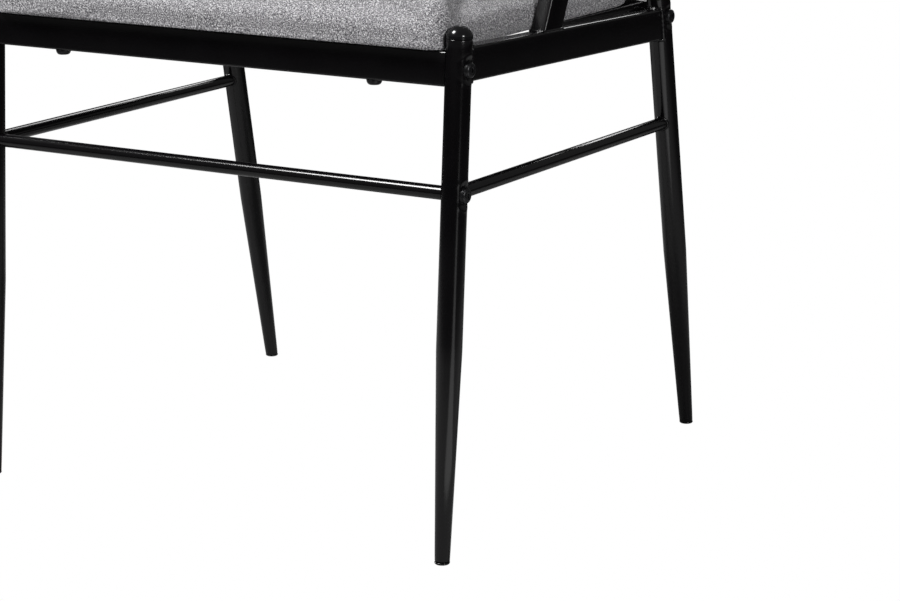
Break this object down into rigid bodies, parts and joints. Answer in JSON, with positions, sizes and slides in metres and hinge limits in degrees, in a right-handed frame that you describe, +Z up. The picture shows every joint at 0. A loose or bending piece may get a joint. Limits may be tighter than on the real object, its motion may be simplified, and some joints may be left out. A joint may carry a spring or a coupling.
{
  "type": "dining chair",
  "caption": "Dining chair with an upholstered seat, a wrap-around upholstered back on leaning struts, and a bolted tube frame on tapered round legs.",
  "frame": {"origin": "on the floor at the centre of the four feet", "axes": "+Z up, -Y the way the sitter faces, +X to the sitter's left"},
  "size_m": [0.5414, 0.5023, 0.7896],
  "materials": {
    "powder_coat": "satin black powder coat",
    "cap_plastic": "glossy black moulded plastic",
    "bolt_black": "black oxide steel",
    "zinc_plate": "zinc-plated steel",
    "plywood": "raw birch plywood",
    "foam": "cut polyurethane foam",
    "fabric": "heathered light grey plain weave",
    "lining": "black non-woven lining"
  },
  "bodies": {
    "root": {"back_bolt_lower_left": "bolt_black", "back_bolt_lower_right": "bolt_black", "back_bolt_upper_left": "bolt_black", "back_bolt_upper_right": "bolt_black", "back_cover": "fabric", "back_foam": "foam", "back_nut_lower_left": "zinc_plate", "back_nut_lower_right": "zinc_plate", "back_nut_upper_left": "zinc_plate", "back_nut_upper_right": "zinc_plate", "back_shell": "plywood", "back_strut_left": "powder_coat", "back_strut_right": "powder_coat", "front_foot_glide_left": "cap_plastic", "front_foot_glide_right": "cap_plastic", "front_leg_cap_left": "cap_plastic", "front_leg_cap_right": "cap_plastic", "front_leg_left": "powder_coat", "front_leg_right": "powder_coat", "front_rail": "powder_coat", "front_rail_bolt_left": "bolt_black", "front_rail_bolt_right": "bolt_black", "front_rail_plug_left": "zinc_plate", "front_rail_plug_right": "zinc_plate", "front_stretcher": "powder_coat", "rear_foot_glide_left": "cap_plastic", "rear_foot_glide_right": "cap_plastic", "rear_leg_cap_left": "cap_plastic", "rear_leg_cap_right": "cap_plastic", "rear_leg_left": "powder_coat", "rear_leg_right": "powder_coat", "rear_rail": "powder_coat", "rear_rail_bolt_left": "bolt_black", "rear_rail_bolt_right": "bolt_black", "rear_rail_plug_left": "zinc_plate", "rear_rail_plug_right": "zinc_plate", "seat_board": "plywood", "seat_bolt_front_left": "bolt_black", "seat_bolt_front_right": "bolt_black", "seat_bolt_rear_left": "bolt_black", "seat_bolt_rear_right": "bolt_black", "seat_cover": "fabric", "seat_dust_cover": "lining", "seat_foam": "foam", "seat_nut_front_left": "zinc_plate", "seat_nut_front_right": "zinc_plate", "seat_nut_rear_left": "zinc_plate", "seat_nut_rear_right": "zinc_plate", "seat_rest_left": "powder_coat", "seat_rest_right": "powder_coat", "side_rail_left": "powder_coat", "side_rail_right": "powder_coat", "side_stretcher_left": "powder_coat", "side_stretcher_right": "powder_coat", "stretcher_bolt_left": "bolt_black", "stretcher_bolt_right": "bolt_black", "stretcher_plug_left": "zinc_plate", "stretcher_plug_right": "zinc_plate"}
  },
  "joints": []
}
